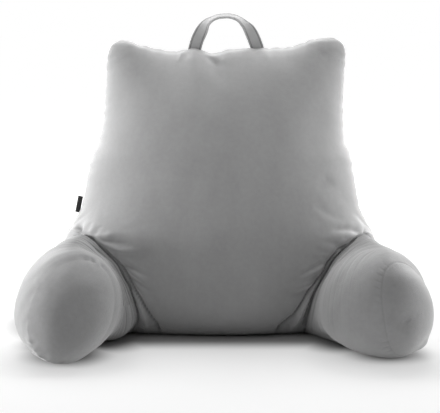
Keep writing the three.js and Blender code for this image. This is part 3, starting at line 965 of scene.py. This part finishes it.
def label_grid():
    """A folded tape as a flat superellipse in plan, carried up the leaning side seam, with a slight curl and
    closed ends."""
    sections = np.arange(len(BACK_SECTIONS), dtype=float)
    row = smooth_curve(BACK["height"], sections, np.array([LABEL_FOOT], float))
    edge = back_level("middle", row) - back_level("half", row)
    turns = np.arange(LABEL_AROUND) * 2 * np.pi / LABEL_AROUND
    across, through = flat_loop(LABEL_REACH + LABEL_ROOT, LABEL_THICK, LABEL_SQUARE, turns)
    up = np.concatenate([[0], np.linspace(0, 1, LABEL_ROWS), [1]])[:, None] * LABEL_HEIGHT
    ends = np.ones((len(up), 1))
    ends[[0, -1]] = 0
    x = (LABEL_ROOT - LABEL_REACH) / 2 + ends * across
    y = back_level("seam", row) + ends * through + LABEL_CURL * np.sin(up / LABEL_HEIGHT * np.pi)
    cosine, sine = math.cos(LABEL_LEAN), math.sin(LABEL_LEAN)
    return np.stack([edge + x * cosine + up * sine, y, LABEL_FOOT - x * sine + up * cosine], -1)


# Materials

WHITE = (1.0, 1.0, 1.0, 1.0)
VELOUR_GREY = (0.265, 0.265, 0.267)
# The arms' velour is the back's cloth with a darker grey: painted shade over the whole arms
ARM_SHADED_GREY = (0.242, 0.242, 0.244)
STRAP_GREY = (0.36, 0.36, 0.362)
THREAD_GREY = (0.2, 0.2, 0.2)
LABEL_BLACK = (0.012, 0.012, 0.013)

# Noise of the pile: scale, detail and roughness; the tufts' scale is the material's own
STROKE_NOISE = (16.0, 4, 0.68)
CLUMP_NOISE = (130.0, 3, 0.6)
TUFT_NOISE = (2, 0.6)
STROKE_STRETCH = (1.0, 1.0, 0.55)
TUFT_SHADE = 0.16
PILE_ROUGHNESS = (-0.12, 0.95)
TUFT_HEIGHT = 0.7
CLUMP_HEIGHT = 0.5
PILE_BUMP = (0.0006, 0.5)
# How strongly the seam mask's painted shade darkens the velour; where the mask is below 0 it paints light
PAINTED_SHADE_STRENGTH = -0.7


def group_socket(group, name, way, kind):
    """One named socket of a node group."""
    group.interface.new_socket(name=name, in_out=way, socket_type=kind)


def put(tree, value, socket):
    """Gives a socket a plain value, or links another socket to it."""
    if isinstance(value, bpy.types.NodeSocket):
        tree.links.new(value, socket)
    else:
        socket.default_value = value


def noise(tree, vector, scale, detail, roughness):
    """A noise texture on a vector, about 0.5."""
    node = tree.nodes.new("ShaderNodeTexNoise")
    for name, value in (("Vector", vector), ("Scale", scale), ("Detail", detail), ("Roughness", roughness)):
        put(tree, value, node.inputs[name])
    return node.outputs["Fac"]


def wave(tree, vector, direction, scale, distortion=0.0):
    """Bands of waves along a direction."""
    node = tree.nodes.new("ShaderNodeTexWave")
    node.bands_direction = direction
    for name, value in (("Vector", vector), ("Scale", scale), ("Distortion", distortion)):
        put(tree, value, node.inputs[name])
    return node.outputs["Fac"]


def object_place(tree):
    """The place on the piece, in metres of the shared frame."""
    return tree.nodes.new("ShaderNodeTexCoord").outputs["Object"]


def combined(tree, operation, *values):
    """A math node of sockets or plain numbers."""
    node = tree.nodes.new("ShaderNodeMath")
    node.operation = operation
    for place, value in enumerate(values):
        put(tree, value, node.inputs[place])
    return node.outputs[0]


def brushed_pile():
    """Node group of a short brushed pile: broad strokes where it lies another way, crushed clumps and single
    tufts. It puts out a shade about 1, a roughness and a height."""
    group = bpy.data.node_groups.new("brushed pile", "ShaderNodeTree")
    group_socket(group, "Vector", "INPUT", "NodeSocketVector")
    for name in ("Tuft Scale", "Stroke", "Clump"):
        group_socket(group, name, "INPUT", "NodeSocketFloat")
    for name in ("Shade", "Roughness", "Height"):
        group_socket(group, name, "OUTPUT", "NodeSocketFloat")
    given = group.nodes.new("NodeGroupInput").outputs
    result = group.nodes.new("NodeGroupOutput").inputs
    stretched = group.nodes.new("ShaderNodeMapping")
    stretched.inputs["Scale"].default_value = STROKE_STRETCH
    group.links.new(given["Vector"], stretched.inputs["Vector"])
    strokes = noise(group, stretched.outputs[0], *STROKE_NOISE)
    clumps = noise(group, given["Vector"], *CLUMP_NOISE)
    tufts = noise(group, given["Vector"], given["Tuft Scale"], *TUFT_NOISE)
    shade = 1.0
    for pattern, strength in ((strokes, given["Stroke"]), (clumps, given["Clump"]), (tufts, TUFT_SHADE)):
        shade = combined(group, "MULTIPLY_ADD", combined(group, "SUBTRACT", pattern, 0.5), strength, shade)
    clump_height = combined(group, "MULTIPLY", clumps, CLUMP_HEIGHT)
    height = combined(group, "MULTIPLY_ADD", tufts, TUFT_HEIGHT, clump_height)
    group.links.new(shade, result["Shade"])
    group.links.new(combined(group, "MULTIPLY_ADD", clumps, *PILE_ROUGHNESS), result["Roughness"])
    group.links.new(height, result["Height"])
    return group


def principled(name):
    """A new material with its Principled shader."""
    material = bpy.data.materials.new(name)
    material.use_nodes = True
    return material, material.node_tree, material.node_tree.nodes["Principled BSDF"]


def tinted(tree, shade, colour):
    """A colour times a changing shade."""
    node = tree.nodes.new("ShaderNodeMix")
    node.data_type = "RGBA"
    node.blend_type = "MULTIPLY"
    node.inputs["Factor"].default_value = 1.0
    node.inputs["A"].default_value = (*colour, 1)
    tree.links.new(shade, node.inputs["B"])
    return node.outputs["Result"]


def bumped(tree, height, distance, strength):
    """A bump normal from a height."""
    node = tree.nodes.new("ShaderNodeBump")
    node.inputs["Strength"].default_value = strength
    node.inputs["Distance"].default_value = distance
    tree.links.new(height, node.inputs["Height"])
    return node.outputs["Normal"]


PILE = brushed_pile()


def velour(name, colour, tuft_scale, stroke, clump, sheen):
    """Brushed velour: the pile's shade over the grey, with the seam mask's painted shade darkening seams,
    creases, troughs and dents and its painted light on the gusset, under a soft sheen that lights the edges."""
    material, tree, shader = principled(name)
    pile = tree.nodes.new("ShaderNodeGroup")
    pile.node_tree = PILE
    values = {"Vector": object_place(tree), "Tuft Scale": tuft_scale, "Stroke": stroke, "Clump": clump}
    for socket, value in values.items():
        put(tree, value, pile.inputs[socket])
    # The seam mask is painted shade: darker in seams, creases, troughs, ticks, dents and pinches, lighter on
    # the gusset
    seam = tree.nodes.new("ShaderNodeAttribute")
    seam.attribute_name = "seam"
    painted_darkening = combined(tree, "MULTIPLY_ADD", seam.outputs["Fac"], PAINTED_SHADE_STRENGTH, 1.0)
    shade = combined(tree, "MULTIPLY", pile.outputs["Shade"], painted_darkening)
    tree.links.new(tinted(tree, shade, colour), shader.inputs["Base Color"])
    tree.links.new(pile.outputs["Roughness"], shader.inputs["Roughness"])
    tree.links.new(bumped(tree, pile.outputs["Height"], *PILE_BUMP), shader.inputs["Normal"])
    shader.inputs["Specular IOR Level"].default_value = 0.15
    shader.inputs["Sheen Weight"].default_value = sheen
    shader.inputs["Sheen Roughness"].default_value = 0.7
    shader.inputs["Sheen Tint"].default_value = WHITE
    return material


def label_cloth():
    """Black taffeta tape: fine crossing ribs from two waves along the label."""
    material, tree, shader = principled("label cloth")
    place = object_place(tree)
    ribs = combined(tree, "MULTIPLY", *(wave(tree, place, way, 420.0, 0.6) for way in ("X", "Z")))
    shade = combined(tree, "MULTIPLY_ADD", ribs, 0.8, 0.7)
    tree.links.new(tinted(tree, shade, LABEL_BLACK), shader.inputs["Base Color"])
    tree.links.new(bumped(tree, ribs, 0.0003, 0.6), shader.inputs["Normal"])
    shader.inputs["Roughness"].default_value = 0.7
    shader.inputs["Sheen Weight"].default_value = 0.08
    return material


def sewing_thread():
    """Sewing thread: a twisted ply as slanting waves."""
    material, tree, shader = principled("sewing thread")
    ply = wave(tree, object_place(tree), "DIAGONAL", 700.0)
    shade = combined(tree, "MULTIPLY_ADD", ply, 0.3, 0.85)
    tree.links.new(tinted(tree, shade, THREAD_GREY), shader.inputs["Base Color"])
    shader.inputs["Roughness"].default_value = 0.6
    return material


# Pieces

# How each cushion settles: growth of slack cloth, cap on its movement, and how far it is drawn in before
BACK_SETTLING = dict(growth=0.05, cap=8, inset=2)
ARM_SETTLING = dict(growth=0.05, cap=7, inset=1.5)

# How far the pins reach from the back's seams, ears and floor, and how far slack cloth reaches from the seams
SIDE_PIN = 4
TOP_PIN = 8
BASE_PIN = 2.5
EAR_PIN = (15, 60)
BACK_FLOOR_PIN = (2, 14)
ARM_FLOOR_PIN = (2, 12)
BACK_SLACK = 30
CAP_SLACK = 25
ROOT_SLACK = 40
LEAST_SLACK = 0.1


def finish_piece(piece, material, slot, *nodes):
    """Gives a piece its material (the slot is not used), lets it ride on the pillow's body and stand for its
    solids.
    """
    piece.data.materials.append(material)
    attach(piece, "root")
    if nodes:
        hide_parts(*nodes)


def sewn_cushion(name, points, relief, shade, pinned, slack, growth, cap, inset, zipped=False):
    """A cushion's piece: the grid raised by its relief, drawn in a little, settled as cloth, and kept off the
    floor, with its shade stored for the velour."""
    normals = grid_normals(points)
    shaped = points + normals * relief[..., None]
    shaped = shaped - normals * (inset * (1 - pinned))[..., None]
    shaped = shaped + settle(shaped, pinned, slack, growth, cap, zipped)
    shaped[..., 2] = np.maximum(shaped[..., 2], 0)
    piece, vertex = closed_mesh(name, shaped, zipped)
    paint_mask(piece, vertex, "seam", shade)
    return piece


def back_cushion(root_seams):
    """The back: pinned along its seams, at its ears and on the floor, with slack cloth beside the seams."""
    points = back_grid()
    relief, shade = back_relief(points, root_seams)
    side, top, base, _, _ = seam_distances(points)
    pinned = np.maximum.reduce([
        bell(side, SIDE_PIN), bell(top, TOP_PIN), bell(base, BASE_PIN),
        1 - smoothstep(points[..., 2], *BACK_FLOOR_PIN), 1 - smoothstep(ear_distance(points), *EAR_PIN),
    ])
    slack = np.maximum(np.exp(-np.minimum(side, top) / BACK_SLACK), LEAST_SLACK)
    return sewn_cushion("back_cushion", points, relief, shade, pinned, slack, **BACK_SETTLING, zipped=True)


def bolster(name, turns, roots):
    """An arm: pinned inside the back and on the floor, with slack cloth beside its seams."""
    points, shares = arm_grid(ARMS[name], turns, roots, CAP_ROUNDING[name])
    relief, shade, from_cap, from_root = arm_relief(name, points, shares, turns, roots)
    pinned = np.maximum(from_root < ARM_HIDDEN, 1 - smoothstep(points[..., 2], *ARM_FLOOR_PIN))
    slack = np.maximum(np.exp(-np.abs(from_cap) / CAP_SLACK), np.exp(-np.abs(from_root) / ROOT_SLACK))
    slack = np.maximum(slack, LEAST_SLACK)
    return sewn_cushion(name + "_bolster", points, relief, shade, pinned, slack, **ARM_SETTLING)


def handle_strap():
    """The strap, with painted shade along its stitched grooves."""
    points, across = strap_grid()
    piece, vertex = closed_mesh("handle_strap", points)
    groove = bell(STRAP_WIDTH / 2 - np.abs(across) - STITCH_INSET, STRAP_GROOVE_SHADE)
    paint_mask(piece, vertex, "seam", np.broadcast_to(groove, vertex.shape))
    return piece


cushion_velour = velour("cushion velour", VELOUR_GREY, 1500.0, 0.42, 0.2, 1.0)
shaded_arm_velour = velour("arm velour", ARM_SHADED_GREY, 1500.0, 0.36, 0.2, 0.55)
strap_velour = velour("strap velour", STRAP_GREY, 2200.0, 0.08, 0.16, 0.6)

turns = arm_turns()
roots = {name: root_shares(arm, turns) for name, arm in ARMS.items()}
root_seams = [arm_surface(arm, turns, roots[name])[::ROOT_SEAM_STEP] for name, arm in ARMS.items()]
finish_piece(back_cushion(root_seams), cushion_velour, "velour", "back")
for name in ARMS:
    finish_piece(bolster(name, turns, roots[name]), shaded_arm_velour, "velour", name)
finish_piece(handle_strap(), strap_velour, "velour", "handle")
finish_piece(joined_stitches("handle_stitches", *strap_stitches()), sewing_thread(), "velour")
finish_piece(closed_mesh("side_label", label_grid())[0], label_cloth(), "label_cloth", "label")


# Stage

CAMERA_PLACE = (0.0, -2500.0, 600.0)
CAMERA_TARGET = (0.0, 0.0, 207.0)
FOCAL_PIXELS = 1460.0
PHOTO_WIDTH = 440.0
SENSOR = 36.0
FLOOR_REACH = 12.0
# The floor's painted glow, which fades in between two distances, and its painted contact shadow round the
# footprint
FLOOR_FADE = (0.6, 1.6)
FLOOR_WHITE = (0.5, 0.5, 0.5)
FLOOR_GLOW = 0.41
CONTACT_FADE = (0.0, 0.07)
CONTACT_SHADE = 0.68

# Where the pillow rests on the floor, round which the floor's contact shadow is painted: the ends of each
# cushion's middle line, and its half width there
FOOTPRINT = [
    ("back", (-196, 5), (190, 5), 128),
    ("left arm", (-236, -60), (-250, -150), 30),
    ("left arm end", (-250, -150), (-246, -222), 18),
    ("left toe", (-150, -96), (-190, -136), 20),
    ("right toe", (160, -90), (205, -140), 20),
    ("right arm", (226, -60), (240, -140), 32),
    ("right arm end", (240, -140), (272, -206), 16),
]

# Soft boxes: place, what they point at, width and height in metres, watts
SOFT_BOXES = [
    ("left front", (-1500, -700, 450), (0, 0, 200), 1.0, 1.4, 3.3),
    ("left side", (-1600, -100, 450), (0, 0, 200), 1.0, 1.4, 1.5),
    ("left low", (-1600, 0, 160), (0, 0, 160), 1.0, 0.3, 20.0),
    ("left top", (-900, 600, 1500), (0, 0, 250), 1.0, 1.0, 8.4),
    ("right front", (1500, -700, 450), (0, 0, 200), 1.0, 1.4, 3.3),
    ("right side", (1600, -100, 450), (0, 0, 200), 1.0, 1.4, 6.5),
    ("right rear", (1500, 500, 450), (0, 0, 200), 1.0, 1.4, 4.3),
    ("right low", (1500, 500, 160), (0, 0, 160), 1.0, 0.3, 9.0),
    ("right top", (900, 600, 1500), (0, 0, 250), 1.0, 1.0, 5.0),
    ("left front high", (-900, -900, 1300), (0, 0, 200), 1.0, 1.0, 2.9),
    ("right front high", (900, -900, 1300), (0, 0, 200), 1.0, 1.0, 1.2),
    ("overhead", (0, -200, 1600), (0, -200, 0), 1.0, 0.8, 3.1),
    ("top rear", (0, 1000, 1600), (0, 0, 200), 1.6, 1.0, 34.0),
]


def shared(place):
    """A place of the pillow's own frame in the shared frame."""
    return np.array(place, float) * MM + SHIFT


def look_at(thing, target):
    """Turns a camera or light so that it looks at a point."""
    way = Vector(target) - thing.location
    thing.rotation_euler = way.to_track_quat("-Z", "Y").to_euler()


def soft_box(name, place, target, width, height, watts):
    """A rectangular light that the camera doesn't see."""
    light = bpy.data.lights.new(name, "AREA")
    light.shape = "RECTANGLE"
    light.size = width
    light.size_y = height
    light.energy = watts
    lamp = placed(name, light)
    lamp.location = shared(place)
    look_at(lamp, shared(target))
    lamp.visible_camera = False


def vector_math(tree, operation, *values):
    """A vector math node of sockets or plain vectors; a length or a dot product comes out as a number."""
    node = tree.nodes.new("ShaderNodeVectorMath")
    node.operation = operation
    for place, value in enumerate(values):
        put(tree, value, node.inputs[place])
    return node.outputs["Value" if operation in ("LENGTH", "DOT_PRODUCT") else "Vector"]


def eased(tree, value, rise, levels):
    """A smooth step of a value over the given rise, from the first level to the second."""
    node = tree.nodes.new("ShaderNodeMapRange")
    node.interpolation_type = "SMOOTHSTEP"
    names = ("Value", "From Min", "From Max", "To Min", "To Max")
    for name, given in zip(names, (value, *rise, *levels)):
        put(tree, given, node.inputs[name])
    return node.outputs[0]


def segment_distance(tree, place, start, end):
    """Distance from a line on the floor: the place less the nearest point of the line, found by its dot
    product."""
    first = shared((*start, 0))
    along = shared((*end, 0)) - first
    offset = vector_math(tree, "SUBTRACT", place, first)
    share = combined(tree, "MINIMUM", vector_math(tree, "DOT_PRODUCT", offset, along / (along @ along)), 1.0)
    nearest = tree.nodes.new("ShaderNodeVectorMath")
    nearest.operation = "SCALE"
    nearest.inputs[0].default_value = along
    tree.links.new(combined(tree, "MAXIMUM", share, 0.0), nearest.inputs["Scale"])
    return vector_math(tree, "LENGTH", vector_math(tree, "SUBTRACT", offset, nearest.outputs[0]))


def pale_floor():
    """A wide paper floor with a painted glow that fades into the white surroundings; near where the pillow
    rests the glow is cut out and the paper darkened, a painted contact shadow."""
    mesh = bpy.data.meshes.new("floor")
    reach = FLOOR_REACH
    mesh.from_pydata([(-reach, -reach, 0), (reach, -reach, 0), (reach, reach, 0), (-reach, reach, 0)], [],
                     [(0, 1, 2, 3)])
    floor = placed("floor", mesh)
    material, tree, shader = principled("floor paper")
    place = object_place(tree)
    painted_glow = eased(tree, vector_math(tree, "LENGTH", place), FLOOR_FADE, (FLOOR_GLOW, 1.0))
    nearest = FLOOR_REACH
    for _, start, end, half in FOOTPRINT:
        gap = combined(tree, "SUBTRACT", segment_distance(tree, place, start, end), half * MM)
        nearest = combined(tree, "MINIMUM", gap, nearest)
    # Painted contact shadow: near the footprint the glow is cut out and the paper's colour darkened
    outside_painted_shadow = eased(tree, nearest, CONTACT_FADE, (0.0, 1.0))
    painted_contact_shadow = eased(tree, nearest, CONTACT_FADE, (CONTACT_SHADE, 1.0))
    tree.links.new(combined(tree, "MULTIPLY", painted_glow, outside_painted_shadow), shader.inputs["Emission Strength"])
    tree.links.new(tinted(tree, painted_contact_shadow, FLOOR_WHITE), shader.inputs["Base Color"])
    shader.inputs["Emission Color"].default_value = WHITE
    shader.inputs["Roughness"].default_value = 0.9
    shader.inputs["Specular IOR Level"].default_value = 0.1
    mesh.materials.append(material)


def studio():
    """Soft boxes at both sides, above the pillow and behind it, in surroundings that only the camera sees as
    white."""
    world = bpy.data.worlds.new("studio")
    world.use_nodes = True
    tree = world.node_tree
    background = tree.nodes["Background"].inputs
    background["Color"].default_value = WHITE
    tree.links.new(tree.nodes.new("ShaderNodeLightPath").outputs["Is Camera Ray"], background["Strength"])
    bpy.context.scene.world = world
    for box in SOFT_BOXES:
        soft_box(*box)
    bpy.context.scene.view_settings.view_transform = "Standard"
    bpy.context.scene.view_settings.look = "None"


def photo_camera():
    """The camera at the photograph's angle."""
    lens = bpy.data.cameras.new("camera")
    lens.sensor_width = SENSOR
    lens.lens = FOCAL_PIXELS / PHOTO_WIDTH * SENSOR
    camera = placed("camera", lens)
    camera.location = shared(CAMERA_PLACE)
    look_at(camera, shared(CAMERA_TARGET))
    bpy.context.scene.camera = camera


pale_floor()
studio()
photo_camera()
